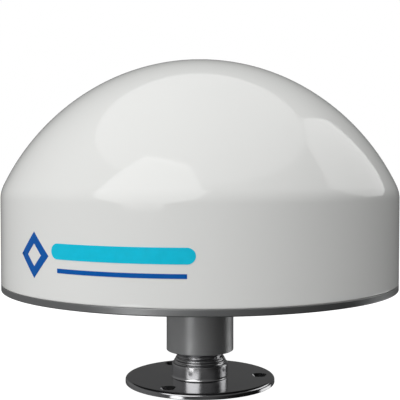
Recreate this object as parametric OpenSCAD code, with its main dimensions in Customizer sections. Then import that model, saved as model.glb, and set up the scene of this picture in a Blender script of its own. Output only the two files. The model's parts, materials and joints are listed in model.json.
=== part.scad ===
// GNSS receiver under a smooth dome, on a threaded deck mount.
// Millimetres. Z is up, z = 0 is the underside of the deck flange, and the
// screw thread's axis is the Z axis.

/* [Radome] */
// Outside diameter of the radome and of the base plate
dome_od = 208; // [204:1:214]
// Height at which the straight wall ends
wall_top = 98.9; // [92:0.1:106]
// Radius of the shoulder between the wall and the flank
shoulder_r = 14.8; // [10:0.1:18]
// Angle that the shoulder turns through
shoulder_turn = 25.5; // [22:0.1:28]
// Radius of the flank
flank_r = 117.7; // [116:0.1:122]
// Angle from the horizontal at which the flank meets the crown
flank_end = 60.6; // [56:0.1:64]
// Thickness of the shell
shell = 3; // [2.5:0.1:3.5]
// Number of screws that hold the radome
base_screw_count = 8; // [6:1:8]
// Radius of the circle of those screws
base_screw_ring = 91; // [90:0.5:92]

/* [Base plate and hub] */
// Height of the base plate's underside
plate_z = 52; // [51:0.1:53]
// Thickness of the base plate
plate_t = 3.2; // [3:0.1:3.6]
// Outside diameter of the hub
hub_od = 36; // [35:0.5:38]
// Height of the hub's lower end
hub_z = 17; // [16:0.1:18]
// Diameter of the hub's bolting flange
hub_flange_od = 64; // [62:1:70]
// Thickness of the hub's bolting flange
hub_flange_t = 6; // [5:0.5:7]
// Radius of the circle of the hub screws
hub_screw_ring = 25; // [24:0.5:25.5]

/* [Deck mount] */
// Diameter of the deck flange
flange_od = 80; // [76:1:90]
// Thickness of the deck flange
flange_t = 3; // [2.6:0.1:4]
// Diameter of the circle of deck holes
deck_pcd = 64; // [62:1:65]
// Diameter of a deck hole
deck_hole_d = 4.8; // [4:0.1:5.5]
// Diameter of a deck hole's countersink
deck_sink_d = 8.6; // [7:0.1:9.4]
// Outside diameter of the collar
collar_od = 30.2; // [29:0.1:32]
// Height of the collar's top
collar_z = 13.3; // [12:0.1:14]
// Diameter of the cable bore
cable_bore = 17; // [15:0.5:18]
// Height of the threaded stud's top
stud_z = 36; // [34:0.5:37]

/* [Thread, 1 inch 14 per inch] */
// Outside diameter of the male thread
thread_d = 25.3; // [25.2:0.05:25.4]
// Depth of the thread
thread_depth = 1.1; // [1:0.05:1.1]
// Radial clearance between the male and the female thread
thread_gap = 0.2; // [0.18:0.01:0.22]
// Sides in one turn of the thread
thread_sides = 32; // [30:2:36]

/* [Antenna] */
// Height of the ground plane's underside
ground_z = 92; // [90:0.5:94]
// Radius of the ground plane
ground_r = 86; // [82:0.5:88]
// Height of the platform under the patches
platform_z = 134; // [130:0.5:136]
// Radius of the lower patch's disc
lower_patch_r = 32; // [30:0.5:34]
// Radius of the upper patch's disc
upper_patch_r = 22; // [20:0.5:24]
// Thickness of one patch's disc
patch_t = 6; // [5:0.5:7]

/* [Receiver board] */
// Outside radius of the ring-shaped board
board_r = 70; // [68:0.5:72]
// Radius of the opening in its middle
board_hole_r = 20; // [18:0.5:21]
// Height of the board's underside
board_z = 63.2; // [62:0.1:66]

/* [Hidden] */
$fn = 96;
inch = 25.4;
pitch = inch / 14;
dome_r = dome_od / 2;
plate_top = plate_z + plate_t;
eps = 0.4;

// Centres of the dome's three arcs, in the half plane of radius and height
shoulder_c = [dome_r - shoulder_r, wall_top];
flank_c = shoulder_c - (flank_r - shoulder_r) * [cos(shoulder_turn), sin(shoulder_turn)];
cap_r = flank_r + flank_c.x / cos(flank_end);
cap_c = flank_c + (flank_r - cap_r) * [cos(flank_end), sin(flank_end)];

// Screws: clearance hole, shank and tapping sizes
m4_r = 2;
m4_hole_r = 2.2;
m4_head_r = 4;
m3_r = 1.5;
m25_r = 1.25;

// Radome details
boss_r = 5;
boss_h = 15;
rim_in = 8.5;
rim_h = 5;
insert_r = 2.8;
insert_h = 8;
insert_gap = 0.3;
base_screw_l = 11;
edge_r = 0.8;

// Sealing rings and their grooves
groove_depth = 1.5;
groove_side = 1;
ring_r = groove_depth / 2;
base_seal_r = 99.5;
hub_seal_r = 29.5;

// Hub
hub_r = hub_od / 2;
hub_flange_r = hub_flange_od / 2;
hub_flange_z = plate_z - hub_flange_t;
hub_screw_count = 6;
hub_screw_depth = 5;
hub_fillet = 4;
mouth_r = 15.05;
mouth_h = 3.5;
bush_r = 14.8;
bush_z = hub_z + mouth_h;
bush_h = 19.5;
chamber_r = 12.4;

// Deck mount
spigot_r = 13;
collar_r = collar_od / 2;
collar_slope = 2.3;
collar_slope_h = 3;
foot_r = 3.4;
foot_turn = 24;
flange_edge = 1.5;
deck_hole_count = 3;

// Connector
socket_r = 8;
socket_top = 60;
socket_flange_r = 10;
socket_flange_t = 2.5;
socket_tip = 39.5;
socket_tip_r = 6;
socket_bore_r = 4.4;
insert_face = 46;
pin_ring = 2.75;
pin_r = 0.4;
nut_t = 3;

// Vent
vent_pos = [-62, 0];
vent_r = 6;
vent_head_r = 9;
vent_head_h = 4;
vent_top = plate_top + 4;

// Boards, posts and can-shaped shields
board_t = 1.6;
board_top = board_z + board_t;
standoff_ring = 62;
standoff_count = 4;
standoff_r = 3;
standoff_foot_r = 2.4;
foot_depth = 2.2;
post_ring = 79;
post_count = 6;
post_r = 4;
post_foot_r = 3;
screw_head_h = 2;
screw_head_r = 2.75;

// Ground plane: wall thickness, base thickness, and each ring's radius and height
wall = 1.5;
ground_t = 2.5;
ring_radii = [86, 69.5, 53, 36.5];
ring_tops = [116, 122, 128, 134];
drum_r = 36.5;
lna_z = 124.4;
lna_r = 30;
lna_ring = 26;
lna_boss_r = 3;

// Patches
metal_t = 0.2;
lower_top = platform_z + patch_t;
upper_z = lower_top + metal_t;
upper_top = upper_z + patch_t;
feed_r = 0.5;
feed_hole_r = 1.2;
lower_feeds = [[-11, 0], [0, -11]];
upper_feeds = [[7, 0], [0, 7]];

// Parts on the receiver board: place and size
shield_pos = [-43, 0];
shield_size = [40, 32, 5];
cell_pos = [0, -44];
cell_r = 10;
cell_h = 3.2;
header_pos = [0, 28];
header_size = [20, 6, 6];
plug_size = [18, 5, 6];
coax_pos = [50, -18];
lna_coax_pos = [25, 0];
coax_r = 1.25;
coax_socket_r = 2.6;
coax_socket_h = 4;
coax_plug_r = 3.4;
coax_plug_h = 6;
wire_r = 0.65;
wire_spacing = 2.8;
// x, y, length, width and height of each chip
CHIPS = [
    [38, 16, 14, 14, 1.4],
    [36, -6, 10, 10, 1.2],
    [54, 4, 8, 6, 1.5],
    [22, 34, 9, 6, 1.6],
    [-4, 50, 12, 8, 1.8],
    [14, 54, 7, 7, 4],
    [-22, 50, 7, 7, 4],
    [-30, 30, 8, 8, 1.2],
    [28, -32, 9, 6, 1.5],
    [-28, -34, 10, 10, 1.4],
    [-40, -30, 6, 5, 2],
    [30, -50, 8, 8, 3],
];

// Badge of foil on the wall: blue diamond, cyan bar and thin blue line
badge_t = 0.15;
diamond_angle = 224;
diamond_z = 75;
diamond_size = 10.5;
bar_angle = 250;
bar_l = 61;
bar_z = 77.5;
bar_h = 7;
line_z = 69;
line_h = 2;

// Points along an arc, from angle a0 to a1
function arc(c, r, a0, a1, n = 8) =
    [for (i = [0:n]) let (a = a0 + (a1 - a0) * i / n) c + r * [cos(a), sin(a)]];

// Points at even angles on a circle
function around(count, r, start = 0) =
    [for (i = [0:count - 1]) let (a = start + 360 * i / count) r * [cos(a), sin(a)]];

// Outline of the dome from the wall's foot to the crown, moved inwards by t
function dome_line(t) = concat(
    arc(shoulder_c, shoulder_r - t, 0, shoulder_turn, 8),
    arc(flank_c, flank_r - t, shoulder_turn + 2, flank_end, 14),
    arc(cap_c, cap_r - t, flank_end + 2, 90, 12)
);

function base_screw_places() =
    around(base_screw_count, base_screw_ring, 180 / base_screw_count);
function hub_screw_places() = around(hub_screw_count, hub_screw_ring, 30);
function standoff_places() = around(standoff_count, standoff_ring, 45);
function post_places() = around(post_count, post_ring, 0);
function deck_hole_places() = around(deck_hole_count, deck_pcd / 2, 0);
function lna_screw_places() = around(3, lna_ring, 90);
function pin_places() = concat(around(7, pin_ring, 12), [[0, 0]]);

// Copies of the children at each of a list of places
module at(places, z = 0) {
    for (p = places) translate([p.x, p.y, z]) children();
}

module disc(r, h, z = 0) {
    translate([0, 0, z]) cylinder(r = r, h = h);
}

module ring(outer, inner, h, z = 0) {
    translate([0, 0, z]) difference() {
        cylinder(r = outer, h = h);
        translate([0, 0, -1]) cylinder(r = inner, h = h + 2);
    }
}

module block(size, place, z) {
    translate([place.x - size.x / 2, place.y - size.y / 2, z]) cube(size);
}

// A round sealing ring that fills its groove from face to face
module seal_ring(r, z) {
    rotate_extrude() translate([r, z]) circle(r = ring_r, $fn = 24);
}

// The groove that such a ring lies in, sunk from a face at z
module groove(r, z) {
    ring(r + groove_side, r - groove_side, groove_depth + 1, z - groove_depth);
}

// A right-hand thread as a solid rod: root, flank, crest and flank make one pitch
module thread_rod(r_out, low, high) {
    n = thread_sides;
    turns = ceil((high - low) / pitch) + 1;
    steps = turns * n;
    r_root = r_out - thread_depth;
    crest = 1 / 8;
    flank = thread_depth * tan(30) / pitch;
    rise = [-crest / 2 - flank, -crest / 2, crest / 2, crest / 2 + flank];
    radii = [r_root, r_out, r_out, r_root];
    start = (ceil(low / pitch) - 1) * pitch;
    function point(s, k) = [
        radii[k] * cos(360 * s / n), radii[k] * sin(360 * s / n),
        start + pitch * (s / n + rise[k] - 0.5)
    ];
    body = [for (s = [0:steps], k = [0:3]) point(s, k)];
    tail = [for (s = [steps + 1:steps + n]) point(s, 0)];
    ends = [[0, 0, start - 2 * pitch], [0, 0, start + (turns + 2) * pitch]];
    bottom = len(body) + len(tail);
    function id(s, k) =
        k == 4 ? id(s + n, 0) : s <= steps ? 4 * s + k : len(body) + s - steps - 1;
    skin = [for (s = [0:steps - 1], k = [0:3]) each [
        [id(s, k), id(s + 1, k + 1), id(s + 1, k)],
        [id(s, k), id(s, k + 1), id(s + 1, k + 1)]
    ]];
    low_loop = concat([for (s = [0:n]) id(s, 0)], [id(0, 3), id(0, 2), id(0, 1)]);
    high_loop = concat([for (s = [steps:steps + n]) id(s, 0)],
                       [id(steps, 3), id(steps, 2), id(steps, 1)]);
    last = len(low_loop);
    low_cap = [for (i = [0:last - 1])
        [bottom, low_loop[i], low_loop[(i + 1) % last]]];
    high_cap = [for (i = [0:last - 1])
        [bottom + 1, high_loop[(i + 1) % last], high_loop[i]]];
    intersection() {
        polyhedron(concat(body, tail, ends), concat(skin, low_cap, high_cap));
        translate([0, 0, low]) cylinder(r = r_out + 2, h = high - low);
    }
}

// Smooth curve through hand-placed points
function blend(a, b, c, d, t) = 0.5 * (2 * b + (c - a) * t
    + (2 * a - 5 * b + 4 * c - d) * t * t + (3 * b - a - 3 * c + d) * t * t * t);
function curve(p, steps) = let (last = len(p) - 1) concat(
    [for (i = [0:last - 1], s = [0:steps - 1])
        blend(p[max(i - 1, 0)], p[i], p[i + 1], p[min(i + 2, last)], s / steps)],
    [p[last]]);
function unit(v) = v / norm(v);

// A round lead swept along points; side is never parallel to the route
module lead(p, r, side, sides = 8) {
    last = len(p) - 1;
    rings = [for (i = [0:last]) let (
        t = unit(p[min(i + 1, last)] - p[max(i - 1, 0)]),
        u = unit(cross(t, side)),
        v = cross(t, u)
    ) for (k = [0:sides - 1])
        p[i] + r * (u * cos(360 * k / sides) + v * sin(360 * k / sides))];
    skin = [for (i = [0:last - 1], k = [0:sides - 1]) let (
        a = i * sides + k, b = i * sides + (k + 1) % sides
    ) each [[a, b + sides, b], [a, a + sides, b + sides]]];
    polyhedron(rings, concat(skin, [[for (k = [0:sides - 1]) k]],
                             [[for (k = [sides - 1:-1:0]) last * sides + k]]));
}

// ---- Deck mount ----

module deck_flange() {
    edge = flange_od / 2;
    color("#6a6c70") difference() {
        rotate_extrude() polygon(concat(
            [[spigot_r, 0], [edge - 0.3, 0], [edge, 0.3]],
            arc([edge - flange_edge, flange_t - flange_edge], flange_edge, 0, 90),
            [[spigot_r, flange_t]]
        ));
        at(deck_hole_places(), -1) cylinder(d = deck_hole_d, h = flange_t + 2);
        at(deck_hole_places(), flange_t - (deck_sink_d - deck_hole_d) / 2)
            cylinder(d1 = deck_hole_d, d2 = deck_sink_d, h = (deck_sink_d - deck_hole_d) / 2);
    }
}

// Spigot in the flange, collar with a flared foot, and threaded stud, bored for the cable
module mount_stud() {
    color("#7b7c80") difference() {
        union() {
            rotate_extrude() polygon(concat(
                [[0, 0], [spigot_r, 0], [spigot_r, flange_t]],
                arc([collar_r + foot_r, flange_t + foot_r * sin(foot_turn)], foot_r,
                    180 + foot_turn, 180, 4),
                [[collar_r, collar_z - collar_slope_h], [collar_r - collar_slope, collar_z],
                 [0, collar_z]]
            ));
            thread_rod(thread_d / 2, collar_z - eps, stud_z);
        }
        disc(cable_bore / 2, stud_z + 2, -1);
    }
}

// Ring in the hub's mouth that keeps water out of the thread
module thread_seal() {
    color("#1c1c1e") ring(mouth_r - 0.05, thread_d / 2 + 0.1, mouth_h - 0.6, hub_z + 0.4);
}

// ---- Hub ----

module hub() {
    color("#7d7f83") difference() {
        rotate_extrude() polygon(concat(
            [[0, hub_z], [hub_r - 0.5, hub_z], [hub_r, hub_z + 0.5]],
            arc([hub_r + hub_fillet, hub_flange_z - hub_fillet], hub_fillet, 180, 90),
            [[hub_flange_r - 0.8, hub_flange_z], [hub_flange_r, hub_flange_z + 0.8],
             [hub_flange_r, plate_z], [0, plate_z]]
        ));
        disc(mouth_r, mouth_h + 1, hub_z - 1);
        disc(bush_r, bush_h + 0.5, bush_z - 0.5);
        disc(chamber_r, plate_z - hub_z + 2, hub_z - 1);
        groove(hub_seal_r, plate_z);
        at(hub_screw_places(), plate_z - hub_screw_depth) cylinder(r = m4_r, h = 10);
    }
}

// Threaded bush bonded into the hub
module thread_bush() {
    color("#8f9196") difference() {
        disc(bush_r, bush_h, bush_z);
        thread_rod(thread_d / 2 + thread_gap, bush_z - 1, bush_z + bush_h + 1);
    }
}

module hub_seal() {
    color("#1a1a1c") seal_ring(hub_seal_r, plate_z - ring_r);
}

// Cap screws from inside the radome, through the plate, into the hub's flange
module hub_screws() {
    color("#a2a4a8") at(hub_screw_places()) difference() {
        union() {
            disc(m4_r, plate_top - plate_z + hub_screw_depth - 0.3,
                 plate_z - hub_screw_depth + 0.3);
            disc(3.5, 4, plate_top);
        }
        translate([0, 0, plate_top + 2]) cylinder(r = 1.7, h = 3, $fn = 6);
    }
}

// ---- Base plate and radome ----

module base_plate() {
    color("#77797c") difference() {
        rotate_extrude() polygon([
            [0, plate_z], [dome_r - 0.5, plate_z], [dome_r, plate_z + 0.5],
            [dome_r, plate_top - 0.2], [dome_r - 0.2, plate_top], [0, plate_top]
        ]);
        disc(socket_r, plate_t + 2, plate_z - 1);
        translate(vent_pos) disc(vent_r, plate_t + 2, plate_z - 1);
        groove(base_seal_r, plate_top);
        at(hub_screw_places(), plate_z - 1) cylinder(r = m4_hole_r, h = plate_t + 2);
        at(base_screw_places(), plate_z - 1) cylinder(r = m4_hole_r, h = plate_t + 2);
        at(base_screw_places(), plate_z)
            cylinder(r1 = m4_head_r + 0.2, r2 = m4_hole_r, h = m4_head_r - m4_hole_r + 0.2);
        at(standoff_places(), plate_top - foot_depth)
            cylinder(r = standoff_foot_r, h = foot_depth + 1);
        at(post_places(), plate_top - foot_depth)
            cylinder(r = post_foot_r, h = foot_depth + 1);
    }
}

module base_seal() {
    color("#1a1a1c") seal_ring(base_seal_r, plate_top - ring_r);
}

// Countersunk screws from below, flush with the plate
module base_screws() {
    color("#a2a4a8") at(base_screw_places(), plate_z) difference() {
        union() {
            cylinder(r1 = m4_head_r, r2 = m4_r, h = m4_head_r - m4_r);
            cylinder(r = m4_r, h = base_screw_l);
        }
        translate([0, 0, -1]) cylinder(r = 1.45, h = 2.4, $fn = 6);
    }
}

module radome_inserts() {
    color("#b8934a") at(base_screw_places(), plate_top + insert_gap)
        ring(insert_r, m4_r, insert_h);
}

// Shell with a thick rim and ribbed screw bosses inside
module radome() {
    inner = dome_line(shell);
    rim_r = dome_r - rim_in;
    color("#eceeee") difference() {
        union() {
            rotate_extrude() polygon(concat(
                [[rim_r, plate_top]],
                arc([dome_r - edge_r, plate_top + edge_r], edge_r, -90, 0, 4),
                dome_line(0),
                [for (i = [len(inner) - 1:-1:0]) inner[i]],
                [[dome_r - shell, plate_top + rim_h + 3], [rim_r, plate_top + rim_h]]
            ));
            for (p = base_screw_places()) rotate([0, 0, atan2(p.y, p.x)]) {
                translate([base_screw_ring, 0, plate_top]) cylinder(r = boss_r, h = boss_h);
                translate([base_screw_ring, -1.25, plate_top + rim_h - 1])
                    cube([dome_r - shell / 2 - base_screw_ring, 2.5, boss_h - rim_h - 2]);
            }
        }
        at(base_screw_places(), plate_top - 1) cylinder(r = insert_r, h = insert_h + 3);
    }
}

// A flat shape, pressed along the radius at one angle onto the wall as foil
module wall_foil(angle, z) {
    band_h = 4 * diamond_size;
    press = 10;
    intersection() {
        ring(dome_r + badge_t, dome_r, band_h, z - band_h / 2);
        rotate([0, 0, angle]) translate([dome_r - press, 0, z]) rotate([90, 0, 90])
            linear_extrude(press + 1) children();
    }
}

module diamond(s) {
    polygon([[s, 0], [0, s], [-s, 0], [0, -s]]);
}

module badge_cyan() {
    color("#22b8d6") wall_foil(bar_angle, bar_z) {
        square([bar_l, bar_h], center = true);
        for (x = [-bar_l / 2, bar_l / 2]) translate([x, 0]) circle(d = bar_h);
    }
}

module badge_blue() {
    color("#0a63ad") {
        wall_foil(diamond_angle, diamond_z) difference() {
            diamond(diamond_size);
            diamond(diamond_size / 2);
        }
        wall_foil(bar_angle, line_z) square([bar_l, line_h], center = true);
    }
}

// ---- Vent ----

module vent_body() {
    color("#2a2b2d") translate(vent_pos) difference() {
        union() {
            translate([0, 0, plate_z - vent_head_h])
                cylinder(r1 = vent_head_r - 1, r2 = vent_head_r, h = 1);
            disc(vent_head_r, vent_head_h - 1, plate_z - vent_head_h + 1);
            disc(vent_r, vent_top - plate_z, plate_z);
        }
        disc(3.5, vent_top, plate_z - 1.5);
        for (a = [0:60:300]) rotate([0, 0, a])
            translate([0, -0.8, plate_z - 2.5]) cube([vent_head_r + 1, 1.6, 1.2]);
    }
}

module vent_membrane() {
    color("#e8e8e4") translate(vent_pos) disc(3.5, 0.3, plate_z + 1);
}

module vent_nut() {
    color("#2a2b2d") translate(vent_pos) difference() {
        translate([0, 0, plate_top]) cylinder(r = 9.2, h = nut_t, $fn = 6);
        disc(vent_r, nut_t + 2, plate_top - 1);
    }
}

// ---- Connector ----

module connector_shell() {
    color("#b9bbbe") difference() {
        union() {
            disc(socket_r, socket_top - plate_z, plate_z);
            disc(socket_flange_r, socket_flange_t, plate_z - socket_flange_t);
            disc(socket_tip_r, plate_z - socket_tip, socket_tip);
        }
        disc(socket_bore_r, socket_top - socket_tip + 2, socket_tip - 1);
        ring(9.5, 8.1, 1.2, plate_z - 0.9);
    }
}

module connector_insert() {
    color("#26282a") difference() {
        disc(socket_bore_r, socket_top - insert_face, insert_face);
        at(pin_places(), insert_face - 1) cylinder(r = pin_r, h = 20, $fn = 16);
    }
}

module connector_pins() {
    color("#c9a24a") at(pin_places(), socket_tip + 1.5)
        cylinder(r = pin_r, h = socket_top + 2 - socket_tip - 1.5, $fn = 16);
}

module connector_nut() {
    color("#b9bbbe") difference() {
        translate([0, 0, plate_top]) cylinder(r = 11.5, h = nut_t, $fn = 6);
        disc(socket_r, nut_t + 2, plate_top - 1);
    }
}

module connector_seal() {
    color("#1a1a1c") rotate_extrude() translate([8.8, plate_z - 0.45])
        circle(r = 0.45, $fn = 24);
}

// ---- Receiver board ----

// Leads from the connector's pins, over the board's inner edge, down into the plug.
// The pins are taken from left to right, and the front ones arch over the rear ones.
module harness_wires() {
    pins = around(7, pin_ring, 12);
    order = [3, 4, 2, 1, 6, 0];
    color("#c8c9cc") for (i = [0:len(order) - 1]) {
        x = (i - (len(order) - 1) / 2) * wire_spacing;
        y = header_pos.y;
        p = pins[order[i]];
        start = socket_top + 2;
        lead(curve([
            [p.x, p.y, start], [p.x, p.y, start + 4],
            [p.x * 1.1, p.y + 1, start + 8 - p.y], [(x + p.x) / 2, p.y / 2 + 8, start + 16 - p.y],
            [x, y - 8, plug_top() + 9 - p.y], [x, y - 1, plug_top() + 5],
            [x, y, plug_top() + 2], [x, y, plug_top()]
        ], 2), wire_r, [1, 0, 0]);
    }
}

function plug_top() = board_top + header_size.z + plug_size.z;

module harness_plug() {
    color("#ececea") block(plug_size, header_pos, board_top + header_size.z);
}

module board_header() {
    color("#f1efe6") block(header_size, header_pos, board_top);
}

module receiver_board() {
    color("#1f5c3a") difference() {
        ring(board_r, board_hole_r, board_t, board_z);
        at(standoff_places(), board_z - 1) cylinder(r = m3_r, h = board_t + 2);
    }
}

module receiver_shield() {
    color("#b4b6b9") block(shield_size, shield_pos, board_top);
}

module board_chips() {
    color("#242628") for (c = CHIPS) block([c[2], c[3], c[4]], [c.x, c.y], board_top);
}

module cell_holder() {
    color("#2b2d30") translate([cell_pos.x, cell_pos.y, board_top]) difference() {
        cylinder(r = cell_r + 2, h = cell_h + 1);
        translate([0, 0, 1]) cylinder(r = cell_r, h = cell_h + 1);
    }
}

module backup_cell() {
    color("#c4c6c9") translate([cell_pos.x, cell_pos.y, board_top + 1])
        cylinder(r = cell_r, h = cell_h);
}

module board_standoffs() {
    color("#c0a052") at(standoff_places()) difference() {
        union() {
            disc(standoff_foot_r, foot_depth, plate_top - foot_depth);
            translate([0, 0, plate_top])
                cylinder(r = standoff_r, h = board_z - plate_top, $fn = 6);
        }
        disc(m3_r, 6, board_z - 5);
    }
}

// A pan-head screw whose head rests at z and whose shank points down
module pan_screw(r, head_r, head_h, length) {
    translate([0, 0, -length]) cylinder(r = r, h = length);
    difference() {
        cylinder(r = head_r, h = head_h);
        translate([0, 0, head_h / 2]) cylinder(r = r * 0.8, h = head_h, $fn = 6);
    }
}

module board_screws() {
    color("#a2a4a8") at(standoff_places(), board_top)
        pan_screw(m3_r, screw_head_r, screw_head_h, 6);
}

// ---- Antenna ----

module antenna_posts() {
    color("#b9bbbe") at(post_places()) difference() {
        union() {
            disc(post_foot_r, foot_depth, plate_top - foot_depth);
            translate([0, 0, plate_top])
                cylinder(r = post_r, h = ground_z - plate_top, $fn = 6);
        }
        disc(m3_r, 8, ground_z - 7);
    }
}

// Stepped rings on a flat disc, around a drum that carries the patches
module ground_plane() {
    color("#c3c5c8") difference() {
        union() {
            ring(ground_r, drum_r - wall, ground_t, ground_z);
            for (i = [0:len(ring_radii) - 1])
                ring(ring_radii[i], ring_radii[i] - wall, ring_tops[i] - ground_z, ground_z);
            disc(drum_r - wall / 2, ground_t, platform_z - ground_t);
            at(lna_screw_places(), lna_z + board_t)
                cylinder(r = lna_boss_r, h = platform_z - ground_t / 2 - lna_z - board_t);
        }
        at(post_places(), ground_z - 1) cylinder(r = m3_r, h = ground_t + 2);
        at(concat(lower_feeds, upper_feeds), platform_z - ground_t - 1)
            cylinder(r = feed_hole_r, h = ground_t + 2);
        at([[0, 0]], platform_z - ground_t - 1) cylinder(r = m3_r, h = ground_t + 2);
        at(lna_screw_places(), lna_z) cylinder(r = m25_r, h = 6);
    }
}

module ground_screws() {
    color("#a2a4a8") at(post_places(), ground_z + ground_t)
        pan_screw(m3_r, screw_head_r, screw_head_h, 8);
}

module lna_board() {
    color("#1f5c3a") difference() {
        disc(lna_r, board_t, lna_z);
        at(lna_screw_places(), lna_z - 1) cylinder(r = m25_r, h = board_t + 2);
        at(concat(lower_feeds, upper_feeds), lna_z - 1)
            cylinder(r = feed_r, h = board_t + 2, $fn = 16);
    }
}

module lna_shield() {
    size = [36, 30, 4];
    color("#b4b6b9") block(size, [0, 0], lna_z - size.z);
}

module lna_screws() {
    color("#a2a4a8") at(lna_screw_places(), lna_z) mirror([0, 0, 1])
        pan_screw(m25_r, 2.2, 1.6, 5);
}

// A ceramic disc with holes for its feeds and the centre screw
module patch_disc(r, z, feeds) {
    difference() {
        disc(r, patch_t, z);
        disc(m3_r, patch_t + 2, z - 1);
        at(feeds, z - 1) cylinder(r = feed_r, h = patch_t + 2, $fn = 16);
    }
}

module lower_patch() {
    color("#d9cfb8") patch_disc(lower_patch_r, platform_z, concat(lower_feeds, upper_feeds));
}

module upper_patch() {
    color("#d9cfb8") patch_disc(upper_patch_r, upper_z, upper_feeds);
}

module patch_metal() {
    color("#b8763e") {
        difference() {
            disc(lower_patch_r - 4, metal_t, lower_top);
            disc(m3_r, 2, lower_top - 1);
            at(lower_feeds, lower_top - 1) cylinder(r = feed_r, h = 2, $fn = 16);
            at(upper_feeds, lower_top - 1) cylinder(r = feed_hole_r, h = 2, $fn = 16);
        }
        difference() {
            disc(upper_patch_r - 4, metal_t, upper_top);
            disc(m3_r, 2, upper_top - 1);
            at(upper_feeds, upper_top - 1) cylinder(r = feed_r, h = 2, $fn = 16);
        }
    }
}

module feed_pins() {
    color("#c9a24a") {
        at(lower_feeds, lna_z) cylinder(r = feed_r, h = lower_top + metal_t - lna_z, $fn = 16);
        at(upper_feeds, lna_z) cylinder(r = feed_r, h = upper_top + metal_t - lna_z, $fn = 16);
    }
}

module patch_screw() {
    top = upper_top + metal_t;
    color("#c0a052") translate([0, 0, top])
        pan_screw(m3_r, screw_head_r, screw_head_h, top - platform_z + ground_t);
}

// ---- Coax between the two boards ----

function lna_plug_z() = lna_z - coax_socket_h - coax_plug_h;

module coax_jumper() {
    top = [lna_coax_pos.x, lna_coax_pos.y, lna_plug_z()];
    low = [coax_pos.x, coax_pos.y, board_top + coax_socket_h + coax_plug_h];
    straight = [0, 0, 3];
    color("#8a5f35") lead(curve([
        top, top - straight, top - 2 * straight, [25.5, -2, 102], [29, -6, 93],
        [37, -12, 86], [46, -16.5, 82], low + 2 * straight, low + straight, low
    ], 2), coax_r, [0, 1, 0]);
}

module coax_plugs() {
    color("#c9a24a") {
        translate([lna_coax_pos.x, lna_coax_pos.y, lna_plug_z()])
            cylinder(r = coax_plug_r, h = coax_plug_h);
        translate([coax_pos.x, coax_pos.y, board_top + coax_socket_h])
            cylinder(r = coax_plug_r, h = coax_plug_h);
    }
}

module coax_sockets() {
    color("#c9a24a") {
        translate([lna_coax_pos.x, lna_coax_pos.y, lna_z - coax_socket_h])
            cylinder(r = coax_socket_r, h = coax_socket_h);
        translate([coax_pos.x, coax_pos.y, board_top])
            cylinder(r = coax_socket_r, h = coax_socket_h);
    }
}

deck_flange();
mount_stud();
thread_seal();
hub();
thread_bush();
hub_seal();
hub_screws();
base_plate();
base_seal();
base_screws();
radome_inserts();
radome();
badge_cyan();
badge_blue();
vent_body();
vent_membrane();
vent_nut();
connector_shell();
connector_insert();
connector_pins();
connector_nut();
connector_seal();
harness_wires();
harness_plug();
board_header();
receiver_board();
receiver_shield();
board_chips();
cell_holder();
backup_cell();
board_standoffs();
board_screws();
antenna_posts();
ground_plane();
ground_screws();
lna_board();
lna_shield();
lna_screws();
lower_patch();
upper_patch();
patch_metal();
feed_pins();
patch_screw();
coax_jumper();
coax_plugs();
coax_sockets();
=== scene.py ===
"""Looks of a GNSS receiver: a white dome on a base plate and hub, screwed onto a threaded deck flange.

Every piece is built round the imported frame. Outlines are in millimetres and meshes in metres.
"""
import json
import math
import random

import bmesh
import bpy
from mathutils import Matrix, Vector

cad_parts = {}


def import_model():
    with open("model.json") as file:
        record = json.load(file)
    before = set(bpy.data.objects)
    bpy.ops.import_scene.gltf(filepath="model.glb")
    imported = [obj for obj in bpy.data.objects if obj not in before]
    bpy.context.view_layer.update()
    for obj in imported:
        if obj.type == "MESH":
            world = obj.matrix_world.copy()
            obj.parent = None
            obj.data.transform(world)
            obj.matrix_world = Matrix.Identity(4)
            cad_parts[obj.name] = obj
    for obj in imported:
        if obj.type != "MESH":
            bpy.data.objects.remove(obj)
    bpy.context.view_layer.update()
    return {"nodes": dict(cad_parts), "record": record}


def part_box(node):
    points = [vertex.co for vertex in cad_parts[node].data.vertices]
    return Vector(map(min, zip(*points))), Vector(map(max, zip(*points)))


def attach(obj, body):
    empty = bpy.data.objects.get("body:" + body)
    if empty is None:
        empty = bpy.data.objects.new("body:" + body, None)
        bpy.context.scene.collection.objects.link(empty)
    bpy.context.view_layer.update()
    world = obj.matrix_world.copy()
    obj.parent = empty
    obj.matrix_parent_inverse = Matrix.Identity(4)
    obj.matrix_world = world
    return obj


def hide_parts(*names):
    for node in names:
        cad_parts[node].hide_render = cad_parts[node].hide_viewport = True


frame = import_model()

MM = 0.001
TINY = 1e-6
random.seed(7)

BODY_OF = {node: body for body, nodes in frame["record"]["behaviour"]["bodies"].items() for node in nodes}
SLOT_OF = {row["node"]: row["material_slot"] for row in frame["record"]["subparts"]}


def box_mm(node):
    """Lowest and highest corner of a CAD node, in millimetres."""
    low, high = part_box(node)
    return low / MM, high / MM


# ---------------- sizes, from the frame and the design

HUB_LOW, HUB_HIGH = box_mm("hub")
FLANGE_HIGH = box_mm("deck_flange")[1]
STUD_TOP = box_mm("mount_stud")[1].z
PLATE_Z, PLATE_TOP = [corner.z for corner in box_mm("base_plate")]
BOARD_Z, BOARD_TOP = [corner.z for corner in box_mm("receiver_board")]
GROUND_Z = box_mm("ground_plane")[0].z
PLATFORM_Z = box_mm("lower_patch")[0].z
LNA_Z = box_mm("lna_board")[0].z

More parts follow.
